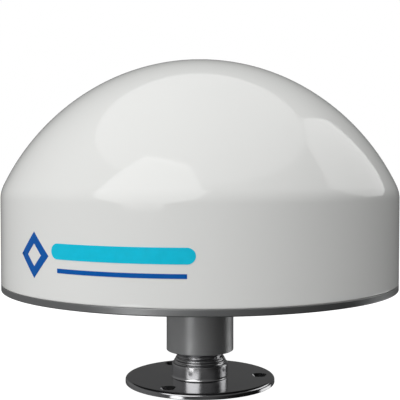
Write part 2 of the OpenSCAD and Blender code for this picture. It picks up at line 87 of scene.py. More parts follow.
# the dome's outline is a straight wall, then arcs along its shoulder, flank and crown, with turns in degrees
DOME_R = box_mm("radome")[1].x
WALL_TOP = 98.9
SHOULDER_R = 14.8
SHOULDER_TURN = 25.5
FLANK_R = 117.7
FLANK_END = 60.6
SHELL = 3
RIM_IN = 8.5
RIM_H = 5
BASE_SCREW_RING = 91
HUB_R = 18
HUB_FLANGE_Z = PLATE_Z - 6
COLLAR_R = 15.1
COLLAR_Z = 13.3
BORE_R = 8.5
SPIGOT_R = 13
PITCH = 25.4 / 14
THREAD_R = 12.65
THREAD_DEPTH = 1.1
BOARD_R = 70
BOARD_HOLE_R = 20
# a ceramic patch with its foil
PATCH_STEP = 6.2


def polar(radius, angle):
    """A point in the plane, from its radius and its angle in degrees."""
    return Vector((radius * math.cos(math.radians(angle)), radius * math.sin(math.radians(angle))))


def around(count, radius, start=0):
    """Points at even angles on a circle."""
    return [polar(radius, start + 360 * i / count) for i in range(count)]


BASE_SCREWS = around(8, BASE_SCREW_RING, 22.5)
HUB_SCREWS = around(6, 25, 30)
DECK_HOLES = around(3, 32)
STANDOFFS = around(4, 62, 45)
POSTS = around(6, 79)
LNA_SCREWS = around(3, 26, 90)
LOWER_FEEDS = [(-11, 0), (0, -11)]
UPPER_FEEDS = [(7, 0), (0, 7)]
PINS = around(7, 2.75, 12) + [Vector((0, 0))]
VENT = (-62, 0)
SHIELD = (-43, 0)
CELL = (0, -44)
HEADER = (0, 28)
HEADER_LEADS = [(i - 2.5) * 2.8 for i in range(6)]
COAX_LOW = (50, -18)
COAX_TOP = (25, 0)

# chips lower than this have rows of leads, and taller ones are coils
FLAT_CHIP = 2.5

# x, y, length, width and height of each chip on the receiver board
CHIPS = [
    (38, 16, 14, 14, 1.4), (36, -6, 10, 10, 1.2), (54, 4, 8, 6, 1.5), (22, 34, 9, 6, 1.6),
    (-4, 50, 12, 8, 1.8), (14, 54, 7, 7, 4), (-22, 50, 7, 7, 4), (-30, 30, 8, 8, 1.2),
    (28, -32, 9, 6, 1.5), (-28, -34, 10, 10, 1.4), (-40, -30, 6, 5, 2), (30, -50, 8, 8, 3),
]


# ---------------- mesh helpers

def arc(centre, radius, start, end, steps):
    """Points along an arc, angles in degrees."""
    return [Vector(centre) + polar(radius, start + (end - start) * i / steps) for i in range(steps + 1)]


def rounded(corners, step=18, guard=0.12):
    """An outline through (r, z, radius) corners, each rounded, with a guard point at long straights' ends."""
    spots = [Vector(c[:2]) for c in corners]
    radii = [c[2] if len(c) > 2 else 0 for c in corners]
    count = len(spots)
    points = []
    for i, spot in enumerate(spots):
        before, after = spots[i - 1] - spot, spots[(i + 1) % count] - spot
        if radii[i] < TINY or before.length < TINY or after.length < TINY:
            points.append(spot)
            continue
        angle = before.angle(after)
        reach = min(radii[i] / math.tan(angle / 2), 0.48 * before.length, 0.48 * after.length)
        radius = reach * math.tan(angle / 2)
        middle = (before.normalized() + after.normalized()).normalized()
        centre = spot + middle * radius / math.sin(angle / 2)
        first, last = spot + before.normalized() * reach, spot + after.normalized() * reach
        from_centre = first - centre
        sweep = from_centre.angle_signed(last - centre)
        steps = max(2, math.ceil(abs(math.degrees(sweep)) / step))
        if before.length - reach > 4 * guard:
            points.append(first + before.normalized() * guard)
        for k in range(steps + 1):
            turn = Matrix.Rotation(-sweep * k / steps, 2)
            points.append(centre + turn @ from_centre)
        if after.length - reach > 4 * guard:
            points.append(last + after.normalized() * guard)
    return points


def add_lathe(mesh, outline, sides, place=(0, 0), start=0):
    """Adds a solid of revolution. The outline is a loop, or a line between two points on the axis."""
    rings = []
    for r, z in outline:
        if r < TINY:
            rings.append([mesh.verts.new((place[0] * MM, place[1] * MM, z * MM))])
            continue
        spots = [(p.x + place[0], p.y + place[1], z) for p in around(sides, r, start)]
        rings.append([mesh.verts.new([c * MM for c in spot]) for spot in spots])
    pairs = list(zip(rings, rings[1:]))
    if len(rings[0]) > 1:
        pairs.append((rings[-1], rings[0]))
    for low, high in pairs:
        for k in range(sides):
            after = (k + 1) % sides
            corners = [low[k % len(low)], low[after % len(low)],
                       high[after % len(high)], high[k % len(high)]]
            corners = list(dict.fromkeys(corners))
            if len(corners) > 2:
                mesh.faces.new(corners)


def add_block(mesh, size, place, z, turn=0):
    """Adds a box on its own, from its size, the middle of its foot and its turn about Z."""
    matrix = Matrix.Translation(Vector((place[0], place[1], z + size[2] / 2)) * MM)
    matrix @= Matrix.Rotation(math.radians(turn), 4, "Z") @ Matrix.Diagonal(Vector((*size, 1 / MM)) * MM)
    bmesh.ops.create_cube(mesh, size=1, matrix=matrix)


def as_object(name, mesh, sharp=32):
    """A shown object from a bmesh, with smooth faces and sharp edges past an angle."""
    bmesh.ops.recalc_face_normals(mesh, faces=mesh.faces)
    data = bpy.data.meshes.new(name)
    mesh.to_mesh(data)
    mesh.free()
    made = bpy.data.objects.new(name, data)
    bpy.context.scene.collection.objects.link(made)
    smooth(made, sharp)
    return made


def smooth(piece, sharp=32):
    """Smooth shading, with sharp edges where faces meet at more than an angle."""
    piece.data.shade_smooth()
    piece.data.set_sharp_from_angle(angle=math.radians(sharp))


def lathe(name, outline, sides=160):
    """An object that is one solid of revolution."""
    mesh = bmesh.new()
    add_lathe(mesh, outline, sides)
    return as_object(name, mesh)


def combine(piece, tool_mesh, operation):
    """Adds or cuts a tool mesh with a boolean, and keeps the result as the piece's own mesh."""
    tool = as_object(piece.name + "_tool", tool_mesh)
    step = piece.modifiers.new("step", "BOOLEAN")
    step.operation = operation
    step.solver = "MANIFOLD"
    step.object = tool
    graph = bpy.context.evaluated_depsgraph_get()
    result = bpy.data.meshes.new_from_object(piece.evaluated_get(graph), depsgraph=graph)
    piece.modifiers.clear()
    piece.data = result
    bpy.data.objects.remove(tool)
    smooth(piece)


def drill(piece, *holes):
    """Cuts (outline, places) holes, each a small lathed tool."""
    tools = bmesh.new()
    for outline, places in holes:
        for place in places:
            add_lathe(tools, outline, 48, place)
    combine(piece, tools, "DIFFERENCE")


def cylinder(radius, low, high):
    """The outline of a plain cylinder."""
    return [(0, low), (radius, low), (radius, high), (0, high)]


def thread_share(turn):
    """Depth of a 60 degree thread below its crest, from 0 to 1, at a share of a turn from the crest."""
    crest = 1 / 16
    flank = THREAD_DEPTH * math.tan(math.radians(30)) / PITCH
    blend = 0.14

    def area(t):
        return 0 if t < 0 else t * t / 2 if t < 1 else t - 0.5

    t = (abs((turn + 0.5) % 1 - 0.5) - crest) / flank
    return (area(t + blend) - area(t - blend)) / (2 * blend)


def threaded(mesh, bore_r, low, high, sides=96):
    """Adds a threaded tube with a true helix, whose crest passes +X half a pitch above z = 0."""
    steps = [0, 0.04, 0.075, 0.11, 0.24, 0.37, 0.41, 0.46, 0.54, 0.59, 0.63, 0.76, 0.89, 0.925, 0.96]
    turns = range(math.floor(low / PITCH) - 2, math.ceil(high / PITCH) + 1)
    levels = [turn + step for turn in turns for step in steps]
    columns = []
    for k in range(sides + 1):
        column = []
        for level in levels:
            z = min(max(PITCH * (level + 0.5 + k / sides), low), high)
            r = THREAD_R - THREAD_DEPTH * thread_share(z / PITCH - 0.5 - k / sides)
            lead_in = THREAD_R - THREAD_DEPTH - 0.15 + (high - z)
            column.append((min(r, lead_in), z))
        column += [(bore_r, high), (bore_r, low)]
        turn = 360 * k / sides
        spots = [(*polar(r, turn), z) for r, z in column]
        columns.append([mesh.verts.new(Vector(s) * MM) for s in spots])
    for here, there in zip(columns, columns[1:]):
        for i in range(len(here)):
            mesh.faces.new([here[i - 1], here[i], there[i], there[i - 1]])
    bmesh.ops.remove_doubles(mesh, verts=mesh.verts, dist=2e-6)


# ---------------- materials

MATERIALS = {}


def feed(node, inputs):
    """Links a node's inputs to sockets, or sets them to values."""
    for key, value in inputs.items():
        if isinstance(value, bpy.types.NodeSocket):
            node.id_data.links.new(value, node.inputs[key])
        else:
            node.inputs[key].default_value = value


def add_node(tree, kind, inputs=None, **settings):
    """A shader node with its settings and inputs."""
    made = tree.nodes.new("ShaderNode" + kind)
    for key, value in settings.items():
        setattr(made, key, value)
    feed(made, inputs or {})
    return made


class Finish:
    """A procedural material, built up in layers of colour, roughness and height."""

    def __init__(self, name, colour, rough, metallic=0, **constants):
        self.name = name
        self.material = bpy.data.materials.new(name)
        self.material.use_nodes = True
        self.tree = self.material.node_tree
        self.shader = self.tree.nodes["Principled BSDF"]
        feed(self.shader, {"Metallic": metallic})
        feed(self.shader, {socket.replace("_", " "): value for socket, value in constants.items()})
        self.place = self.node("TexCoord").outputs["Object"]
        self.colour = (*colour, 1)
        self.rough = rough

    def node(self, kind, inputs=None, **settings):
        return add_node(self.tree, kind, inputs, **settings)

    def math(self, operation, *values):
        return self.node("Math", dict(enumerate(values)), operation=operation).outputs[0]

    def noise(self, size, detail=2):
        """Noise from 0 to 1 whose blotches are about size mm across."""
        scale = (1 / (size * MM),) * 3
        place = self.node("VectorMath", {0: self.place, 1: scale}, operation="MULTIPLY").outputs[0]
        return self.node("TexNoise", {"Vector": place, "Scale": 1.0, "Detail": detail}).outputs[0]

    def turning(self, size):
        """Noise in rings about the Z axis, as a lathe tool leaves, about size mm apart."""
        flat = self.node("VectorMath", {0: self.place, 1: (1, 1, 0)}, operation="MULTIPLY").outputs[0]
        radius = self.node("VectorMath", {0: flat}, operation="LENGTH").outputs["Value"]
        height = self.node("SeparateXYZ", {0: self.place}).outputs[2]
        along = self.math("ADD", radius, height)
        return self.node("TexNoise", {"W": along, "Scale": 1 / (size * MM), "Detail": 3},
                         noise_dimensions="1D").outputs[0]

    def spread(self, value, low, high, to_low=0.0, to_high=1.0):
        return self.node("MapRange", {"Value": value, "From Min": low, "From Max": high,
                                      "To Min": to_low, "To Max": to_high}).outputs[0]

    def tint(self, mask, colour):
        """Goes towards a colour where the mask is 1."""
        inputs = {0: mask, 6: self.colour, 7: (*colour, 1)}
        self.colour = self.node("Mix", inputs, data_type="RGBA").outputs[2]

    def mottle(self, mask, amount):
        """Makes the colour lighter and darker by a share, as the mask goes from 0 to 1."""
        factor = self.spread(mask, 0.3, 0.7, 1 - amount, 1 + amount)
        colour = self.colour[:3] if isinstance(self.colour, tuple) else self.colour
        self.colour = self.node("VectorMath", {0: colour, 1: factor}, operation="MULTIPLY").outputs[0]

    def rougher(self, mask, amount):
        """Adds to the roughness as the mask goes from 0 to 1, half down and half up."""
        change = self.spread(mask, 0.3, 0.7, -amount, amount)
        inputs = {0: self.rough, 1: change}
        self.rough = self.node("Math", inputs, operation="ADD", use_clamp=True).outputs[0]

    def edges(self, radius):
        """1 along edges, within a radius in mm, and 0 elsewhere."""
        soft = self.node("Bevel", {"Radius": radius * MM}, samples=4).outputs[0]
        true = self.node("NewGeometry").outputs["Normal"]
        same = self.node("VectorMath", {0: soft, 1: true}, operation="DOT_PRODUCT").outputs["Value"]
        return self.spread(same, 0.995, 0.8)

    def bump(self, height, depth):
        """Raises the surface by up to depth mm where the height is 1."""
        inputs = {"Height": height, "Distance": depth * MM, "Strength": 1.0}
        self.normal = self.node("Bump", inputs).outputs[0]

    def done(self):
        """Joins the layers to the shader, and keeps the material under its name."""
        feed(self.shader, {"Base Color": self.colour, "Roughness": self.rough, "Normal": self.normal})
        MATERIALS[self.name] = self.material


def gelcoat():
    """Sprayed and polished white skin: a faint ripple, faint tone drift, and fine dust in the gloss."""
    skin = Finish("radome_gelcoat", (0.845, 0.85, 0.835), 0.07)
    skin.mottle(skin.noise(60), 0.008)
    skin.rougher(skin.noise(9, 3), 0.02)
    skin.tint(skin.spread(skin.noise(0.5, 1), 0.74, 0.8, 0, 0.12), (0.70, 0.69, 0.66))
    skin.bump(skin.noise(5), 0.004)
    skin.done()


def turned_metal(name, colour, rough, ring_size, ring_depth, edge_colour, metallic=1.0):
    """Metal off the lathe: fine rings, blotchy roughness and bright worn edges."""
    skin = Finish(name, colour, rough, metallic)
    rings = skin.turning(ring_size)
    skin.mottle(skin.noise(12), 0.02)
    skin.mottle(rings, 0.03)
    skin.rougher(skin.noise(7), rough * 0.07)
    skin.tint(skin.edges(0.35), edge_colour)
    skin.bump(rings, ring_depth)
    skin.done()


def plain_metal(name, colour, rough):
    """Plated, pressed or drawn metal: fine grain, small dents in the gloss and bright edges."""
    skin = Finish(name, colour, rough, 1.0)
    skin.mottle(skin.noise(6), 0.03)
    skin.rougher(skin.noise(3), rough * 0.12)
    skin.tint(skin.edges(0.15), [min(1, c * 1.25) for c in colour])
    skin.bump(skin.noise(0.6), 0.003)
    skin.done()


def moulded(name, colour, rough):
    """Moulded plastic or rubber: fine texture, tone drift and edges rubbed paler."""
    skin = Finish(name, colour, rough)
    skin.mottle(skin.noise(8, 3), 0.06)
    skin.rougher(skin.noise(1.5, 3), 0.08)
    skin.tint(skin.edges(0.2), [min(1, c * 1.15 + 0.02) for c in colour])
    skin.bump(skin.noise(0.35), 0.01)
    skin.done()


def laminate():
    """Green solder mask over runs of parallel copper tracks, which change direction from patch to patch."""
    skin = Finish("board_laminate", (0.010, 0.105, 0.045), 0.3)
    place = skin.node("VectorMath", {0: skin.place, 1: (1 / MM,) * 3}, operation="MULTIPLY").outputs[0]
    split = skin.node("SeparateXYZ", {0: place})
    patches = skin.node("TexVoronoi", {"Vector": place, "Scale": 0.13}, voronoi_dimensions="2D",
                        distance="CHEBYCHEV").outputs["Color"]
    patch = skin.node("SeparateColor", {0: patches}).outputs[0]
    track_step, half_track = 0.9, 0.18
    runs = []
    for axis, low, high in ((0, 0.0, 0.42), (1, 0.42, 0.8)):
        share = skin.math("FRACT", skin.math("DIVIDE", split.outputs[axis], track_step))
        line = skin.math("COMPARE", share, 0.5, half_track)
        above, below = skin.math("GREATER_THAN", patch, low), skin.math("LESS_THAN", patch, high)
        inside = skin.math("MULTIPLY", above, below)
        runs.append(skin.math("MULTIPLY", line, inside))
    tracks = skin.math("MAXIMUM", *runs)
    skin.tint(tracks, (0.018, 0.17, 0.07))
    skin.mottle(skin.noise(20), 0.05)
    skin.rougher(skin.noise(4), 0.04)
    skin.tint(skin.edges(0.15), (0.10, 0.16, 0.07))
    skin.bump(tracks, 0.02)
    skin.done()


def film(name, colour):
    """Printed gloss film: even ink with a faint grain, on a very slight ripple."""
    skin = Finish(name, colour, 0.16, Specular_IOR_Level=0.25)
    skin.mottle(skin.noise(3, 3), 0.03)
    skin.rougher(skin.noise(5), 0.03)
    skin.bump(skin.noise(4), 0.003)
    skin.done()


gelcoat()
film("badge_cyan_film", (0.006, 0.58, 0.80))
film("badge_blue_film", (0.001, 0.10, 0.42))
turned_metal("polished_steel", (0.44, 0.44, 0.45), 0.15, 0.25, 0.0003, (0.75, 0.75, 0.76))
turned_metal("stud_steel", (0.54, 0.54, 0.55), 0.19, 0.2, 0.0003, (0.7, 0.7, 0.7))
turned_metal("hub_metal", (0.47, 0.475, 0.48), 0.4, 0.22, 0.002, (0.55, 0.55, 0.56), 0.66)
turned_metal("plate_metal", (0.34, 0.345, 0.35), 0.36, 0.25, 0.002, (0.42, 0.42, 0.43), 0.85)
turned_metal("bush_steel", (0.56, 0.56, 0.57), 0.24, 0.2, 0.002, (0.7, 0.7, 0.7))
plain_metal("post_metal", (0.66, 0.67, 0.68), 0.3)
turned_metal("ground_metal", (0.66, 0.66, 0.66), 0.3, 0.3, 0.003, (0.75, 0.75, 0.75))
plain_metal("screw_steel", (0.58, 0.58, 0.59), 0.28)
plain_metal("brass", (0.69, 0.51, 0.24), 0.28)
plain_metal("nickel_plate", (0.60, 0.58, 0.55), 0.2)
plain_metal("gold_contact", (0.83, 0.61, 0.26), 0.2)
plain_metal("tinned_steel", (0.60, 0.61, 0.62), 0.32)
plain_metal("cell_steel", (0.62, 0.63, 0.64), 0.22)
plain_metal("patch_copper", (0.70, 0.40, 0.25), 0.3)
moulded("seal_rubber", (0.016, 0.016, 0.018), 0.5)
moulded("vent_plastic", (0.022, 0.022, 0.025), 0.45)
moulded("insert_plastic", (0.022, 0.025, 0.03), 0.4)
moulded("chip_epoxy", (0.018, 0.018, 0.02), 0.5)
moulded("plug_nylon", (0.74, 0.71, 0.62), 0.42)
moulded("membrane_film", (0.76, 0.76, 0.73), 0.8)
moulded("wire_sleeve", (0.45, 0.46, 0.48), 0.4)
moulded("coax_jacket", (0.30, 0.13, 0.045), 0.35)
laminate()
moulded("patch_ceramic", (0.66, 0.58, 0.42), 0.6)


# ---------------- pieces

def dress(piece, *nodes, slot=None):
    """The piece stands for its CAD nodes, on their body and in their finish, or is an extra on the head."""
    slot = slot or SLOT_OF[nodes[0]]
    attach(piece, BODY_OF[nodes[0]] if nodes else "head")
    if nodes:
        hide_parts(*nodes)
    piece.data.materials.clear()
    piece.data.materials.append(MATERIALS[slot])


def deck_flange():
    """Polished disc with a rounded top edge and three countersunk holes."""
    edge, top = FLANGE_HIGH.x, FLANGE_HIGH.z
    piece = lathe("deck_flange_disc", rounded([
        (SPIGOT_R, 0, 0), (edge, 0, 0.3), (edge, top, 1.5), (SPIGOT_R, top, 0)], step=6), 240)
    sink_r, hole_r = 4.3, 2.4
    drill(piece, (rounded([
        (0, -1), (hole_r, -1), (hole_r, top - (sink_r - hole_r), 0.1), (sink_r, top, 0.25),
        (sink_r + 2, top, 0), (sink_r + 2, top + 1), (0, top + 1)]), DECK_HOLES))
    dress(piece, "deck_flange")


def mount_stud():
    """Spigot, collar with a flared foot and a sloped, ridged neck, and the threaded stud."""
    base = FLANGE_HIGH.z
    foot_r, foot_turn = 3.4, 24
    slope, slope_h = 2.3, 3
    foot_z = base + foot_r * math.sin(math.radians(foot_turn))
    neck_r, neck_z = COLLAR_R - slope, COLLAR_Z - slope_h
    collar = rounded([(COLLAR_R, foot_z), (COLLAR_R, neck_z, 0.5), (neck_r + 1, neck_z + 0.25)])
    collar += arc((neck_r + 0.35, neck_z + 1.05), 0.75, -45, 60, 8)
    collar += arc((neck_r - 0.15, neck_z + 2.3), 0.6, -45, 75, 8)
    collar += [Vector((neck_r, COLLAR_Z)), Vector((BORE_R, COLLAR_Z))]
    outline = (rounded([(BORE_R, base), (BORE_R, 0, 0.3), (SPIGOT_R, 0)]) + [(SPIGOT_R, base)]
               + arc((COLLAR_R + foot_r, foot_z), foot_r, 180 + foot_turn, 180, 8) + collar[1:])
    piece = lathe("mount_stud_body", outline, 160)
    rod = bmesh.new()
    threaded(rod, BORE_R - 0.001, COLLAR_Z - 0.4, STUD_TOP)
    combine(piece, rod, "UNION")
    dress(piece, "mount_stud")


def hub():
    """Turned hub: barrel, blend into the bolting flange, counterbored mouth and tapped holes."""
    low, top = HUB_LOW.z, HUB_HIGH.z
    flange_r, fillet = HUB_HIGH.x, 4
    mouth_r, bush_r, chamber_r = 15.05, 14.8, 12.4
    mouth_z, bush_top = low + 3.5, low + 23
    piece = lathe("hub_body", rounded([
        (HUB_R, low, 0.5), (HUB_R, HUB_FLANGE_Z, fillet), (flange_r, HUB_FLANGE_Z, 0.8),
        (flange_r, top, 0.2), (chamber_r, top, 0.2), (chamber_r, bush_top, 0), (bush_r, bush_top, 0),
        (bush_r, mouth_z, 0), (mouth_r, mouth_z, 0), (mouth_r, low, 0.3)], step=10), 192)
    drill(piece, (cylinder(1.98, top - 5, top + 1), HUB_SCREWS),
          (cylinder(2.2, top - 0.2, top + 1), HUB_SCREWS))
    dress(piece, "hub")


def base_plate():
    """Machined disc under the dome, with its holes, countersinks and sockets."""
    low, top = PLATE_Z, PLATE_TOP
    piece = lathe("base_plate_disc", rounded([
        (0, low), (DOME_R, low, 0.5), (DOME_R, top, 0.2), (0, top)]), 288)
    over = top + 1
    drill(piece,
          (cylinder(8, low - 1, over), [(0, 0)]),
          (cylinder(6, low - 1, over), [VENT]),
          (cylinder(2.2, low - 1, over), HUB_SCREWS),
          ([(0, low - 1), (4.4, low - 1), (4.2, low), (2.2, low + 2), (2.2, over), (0, over)], BASE_SCREWS),
          (cylinder(2.4, top - 2.2, over), STANDOFFS),
          (cylinder(3, top - 2.2, over), POSTS))
    dress(piece, "base_plate")


def dome_line(inward, fine=1):
    """The dome's outline from the wall's top to the crown, moved inwards."""
    shoulder = Vector((DOME_R - SHOULDER_R, WALL_TOP))
    flank = shoulder - polar(FLANK_R - SHOULDER_R, SHOULDER_TURN)
    cap_r = FLANK_R + flank.x / math.cos(math.radians(FLANK_END))
    cap = flank + polar(FLANK_R - cap_r, FLANK_END)
    line = arc(shoulder, SHOULDER_R - inward, 0, SHOULDER_TURN, round(14 * fine))
    line += arc(flank, FLANK_R - inward, SHOULDER_TURN, FLANK_END, round(32 * fine))[1:]
    line += arc(cap, cap_r - inward, FLANK_END, 90, round(26 * fine))[1:]
    line[-1].x = 0
    return line


def radome():
    """The white shell, with its thick rim and eight screw bosses inside."""
    inner = dome_line(SHELL, 0.6)
    rim_r = DOME_R - RIM_IN
    outline = dome_line(0)[::-1] + [Vector((DOME_R, z)) for z in (94, 84, 74, 64, 57)]
    outline += arc((DOME_R - 0.8, PLATE_TOP + 0.8), 0.8, 0, -90, 8)
    outline += [Vector((DOME_R - 1, PLATE_TOP)), Vector((rim_r, PLATE_TOP))]
    outline += [Vector((rim_r, PLATE_TOP + RIM_H)), Vector((DOME_R - SHELL, PLATE_TOP + RIM_H + 3))]
    piece = lathe("radome_shell", outline + inner, 240)
    boss_h, boss_r = 15, 5
    bosses, ribs = bmesh.new(), bmesh.new()
    boss = rounded([(0, PLATE_TOP), (boss_r, PLATE_TOP), (boss_r, PLATE_TOP + boss_h, 0.6),
                    (0, PLATE_TOP + boss_h)])
    rib_l = DOME_R - SHELL / 2 - BASE_SCREW_RING
    for place in BASE_SCREWS:
        add_lathe(bosses, boss, 48, place)
        middle = place.normalized() * (BASE_SCREW_RING + rib_l / 2)
        add_block(ribs, (rib_l, 2.5, boss_h - RIM_H - 2), middle, PLATE_TOP + RIM_H - 1,
                  math.degrees(math.atan2(place.y, place.x)))
    combine(piece, bosses, "UNION")
    combine(piece, ribs, "UNION")
    drill(piece, (cylinder(2.8, PLATE_TOP - 1, PLATE_TOP + 10), BASE_SCREWS))
    dress(piece, "radome")


def wall_film(mesh, outline, angle, z, thick=0.13, cell=2.0):
    """Adds a flat outline, pressed along the radius at one angle onto the wall, as a closed thin film."""
    film_mesh = bmesh.new()
    film_mesh.faces.new([film_mesh.verts.new((x, y, 0)) for x, y in outline])
    low = min(x for x, _ in outline)
    high = max(x for x, _ in outline)
    for i in range(1, math.ceil((high - low) / cell)):
        bmesh.ops.bisect_plane(film_mesh, geom=film_mesh.verts[:] + film_mesh.edges[:] + film_mesh.faces[:],
                               plane_co=(low + cell * i, 0, 0), plane_no=(1, 0, 0))
    flat = film_mesh.verts[:]
    lifted = bmesh.ops.extrude_face_region(film_mesh, geom=film_mesh.faces[:])
    tops = [v for v in lifted["geom"] if isinstance(v, bmesh.types.BMVert)]
    turn = Matrix.Rotation(math.radians(angle), 3, "Z")
    for group, radius in ((flat, DOME_R - 0.03), (tops, DOME_R + thick)):
        for v in group:
            across, up = v.co.x, v.co.y
            deep = math.sqrt(DOME_R ** 2 - across ** 2)
            spot = Vector((deep, across, 0)).normalized() * radius
            v.co = (turn @ Vector((spot.x, spot.y, z + up))) * MM
    data = bpy.data.meshes.new("film")
    film_mesh.to_mesh(data)
    film_mesh.free()
    mesh.from_mesh(data)
    bpy.data.meshes.remove(data)


def badges():
    """Generic marks on the wall: a cyan bar, a thin blue line and an open blue diamond."""
    bar_angle, bar_l, bar_h, bar_z = 250, 61, 7, 77.5
    line_h, line_z = 2, 69
    diamond_angle, diamond_z, size = 224, 75, 10.5
    cyan = bmesh.new()
    half = bar_l / 2
    wall_film(cyan, arc((half, 0), bar_h / 2, -90, 90, 24) + arc((-half, 0), bar_h / 2, 90, 270, 24),
              bar_angle, bar_z)
    dress(as_object("badge_cyan_film", cyan), "badge_cyan")
    blue = bmesh.new()
    wall_film(blue, [(-half, -line_h / 2), (half, -line_h / 2), (half, line_h / 2), (-half, line_h / 2)],
              bar_angle, line_z)
    points = around(4, size)
    for here, there in zip(points, points[1:] + points[:1]):
        wall_film(blue, [here, there, there / 2, here / 2], diamond_angle, diamond_z)
    bmesh.ops.remove_doubles(blue, verts=blue.verts, dist=2e-6)
    dress(as_object("badge_blue_film", blue), "badge_blue")


def add_soft_block(mesh, size, place, z, radius):
    """Adds a box with rounded edges."""
    before = set(mesh.edges)
    add_block(mesh, size, place, z)
    edges = [e for e in mesh.edges if e not in before]
    bmesh.ops.bevel(mesh, geom=edges, offset=radius * MM, offset_type="OFFSET", segments=3, profile=0.5,
                    affect="EDGES")


def add_tube(mesh, points, radius, side, sides=16):
    """Adds a round lead swept along points. Side is never parallel to the route."""
    rings = []
    for i, point in enumerate(points):
        way = (points[min(i + 1, len(points) - 1)] - points[max(i - 1, 0)]).normalized()
        across = way.cross(side).normalized()
        up = way.cross(across)
        spots = [point + across * p.x + up * p.y for p in around(sides, radius)]
        rings.append([mesh.verts.new(spot * MM) for spot in spots])
    for low, high in zip(rings, rings[1:]):
        for k in range(sides):
            mesh.faces.new([low[k], low[(k + 1) % sides], high[(k + 1) % sides], high[k]])
    mesh.faces.new(rings[0][::-1])
    mesh.faces.new(rings[-1])


def curve(points, steps=7):
    """A smooth line through given points."""
    spots = [Vector(p) for p in points]
    line = []
    for i in range(len(spots) - 1):
        a, b, c, d = spots[max(i - 1, 0)], spots[i], spots[i + 1], spots[min(i + 2, len(spots) - 1)]
        for k in range(steps):
            t = k / steps
            line.append((b * 2 + (c - a) * t + (a * 2 - b * 5 + c * 4 - d) * t * t
                         + (b * 3 - a - c * 3 + d) * t ** 3) / 2)
    return line + [spots[-1]]


def pan_screws(node, places, z, shank_r, head_r, head_h, length, side=1):
    """Pan-head screws with hexagon sockets. Heads rest at z, and shanks point down, or up if side is -1."""
    bodies, sockets = bmesh.new(), bmesh.new()
    crown = [(head_r, z + side * 0.5 * head_h), (head_r - 0.25, z + side * 0.78 * head_h),
             (head_r - 0.7, z + side * 0.95 * head_h), (0.5 * head_r, z + side * head_h)]
    outline = [(0, z - side * length), (shank_r - 0.25, z - side * length),
               (shank_r, z - side * (length - 0.25)), (shank_r, z), (head_r - 0.1, z),
               (head_r, z + side * 0.1)] + crown + [(0, z + side * head_h)]
    socket = [(0, z + side * head_h / 2), (0.8 * shank_r, z + side * head_h / 2),
              (0.8 * shank_r, z + side * (head_h - 0.15)), (0.8 * shank_r + 0.3, z + side * (head_h + 0.1)),
              (0, z + side * (head_h + 0.1))]
    for place in places:
        add_lathe(bodies, outline, 40, place)
        add_lathe(sockets, socket, 6, place, 30)
    piece = as_object(node + "_heads", bodies)
    combine(piece, sockets, "DIFFERENCE")
    dress(piece, node)


def hexagon(node, name, radius, low, high, places, hole_r, chamfer=0.5, foot=None):
    """Hexagonal bars or nuts, chamfered, with a hole. Foot is the radius and depth of a round stub below."""
    bars, holes = bmesh.new(), bmesh.new()
    outline = [(0, low), (radius - chamfer, low), (radius, low + chamfer), (radius, high - chamfer),
               (radius - chamfer, high), (0, high)]
    for place in places:
        add_lathe(bars, outline, 6, place)
    piece = as_object(name, bars)
    if foot:
        stubs = bmesh.new()
        for place in places:
            add_lathe(stubs, cylinder(foot[0], low - foot[1], low + 1), 40, place)
        combine(piece, stubs, "UNION")
    hole_low = low + 1 if foot else low - 1
    hole = [(0, hole_low), (hole_r, hole_low), (hole_r, high - 0.4), (hole_r + 0.5, high + 0.1),
            (0, high + 0.1)]
    for place in places:
        add_lathe(holes, hole, 32, place)
    combine(piece, holes, "DIFFERENCE")
    dress(piece, node)


def lathed(node, *parts, sides=64):
    """One piece for a node, of solids of revolution given as (outline, places)."""
    mesh = bmesh.new()
    for outline, places in parts:
        for place in places:
            add_lathe(mesh, outline, sides, place)
    dress(as_object(node + "_turned", mesh), node)


def vent():
    """Pressure vent: a slotted cap below the plate, its hollow neck through it, and a ring nut inside."""
    low, top = PLATE_Z - 4, PLATE_TOP + 4
    cap_r, neck_r = 9, 6
    mesh = bmesh.new()
    add_lathe(mesh, rounded([(0, low), (cap_r, low, 1), (cap_r, PLATE_Z, 0.2), (neck_r, PLATE_Z, 0),
                             (neck_r, top, 0.4), (0, top)]), 96, VENT)
    piece = as_object("vent_cap", mesh)
    drill(piece, (cylinder(3.5, PLATE_Z - 1.5, PLATE_TOP + 6), [VENT]))
    for i in range(6):
        slot_cut = bmesh.new()
        middle = polar(6, 60 * i)
        add_block(slot_cut, (8, 1.6, 1.2), (VENT[0] + middle.x, VENT[1] + middle.y), PLATE_Z - 2.5, 60 * i)
        combine(piece, slot_cut, "DIFFERENCE")
    dress(piece, "vent_body")
    hexagon("vent_nut", "vent_ring_nut", 9.2, PLATE_TOP, PLATE_TOP + 3, [VENT], neck_r)


def connector():
    """Receptacle with a threaded tip, its ring nut and pins."""
    flange_z, end = PLATE_Z - 2.5, 60
    piece = lathe("connector_barrel", rounded([
        (4.4, 39.5, 0.2), (6, 39.5, 0.3), (6, flange_z), (10, flange_z, 0.4), (10, PLATE_Z, 0.1),
        (9.5, PLATE_Z), (9.5, PLATE_Z - 0.9), (8.1, PLATE_Z - 0.9), (8.1, PLATE_Z),
        (8, PLATE_Z), (8, end, 0.4), (4.4, end, 0.2)]), 96)
    cuts = bmesh.new()
    for i in range(8):
        z = 40.5 + i
        add_lathe(cuts, [(5.5, z), (6.3, z - 0.46), (6.3, z + 0.46)], 96)
    combine(piece, cuts, "DIFFERENCE")
    dress(piece, "connector_shell")
    hexagon("connector_nut", "connector_ring_nut", 11.5, PLATE_TOP, PLATE_TOP + 3, [(0, 0)], 8)
    lathed("connector_pins", ([(0, 41), (0.25, 41), (0.4, 41.3), (0.4, 62), (0, 62)], PINS), sides=20)


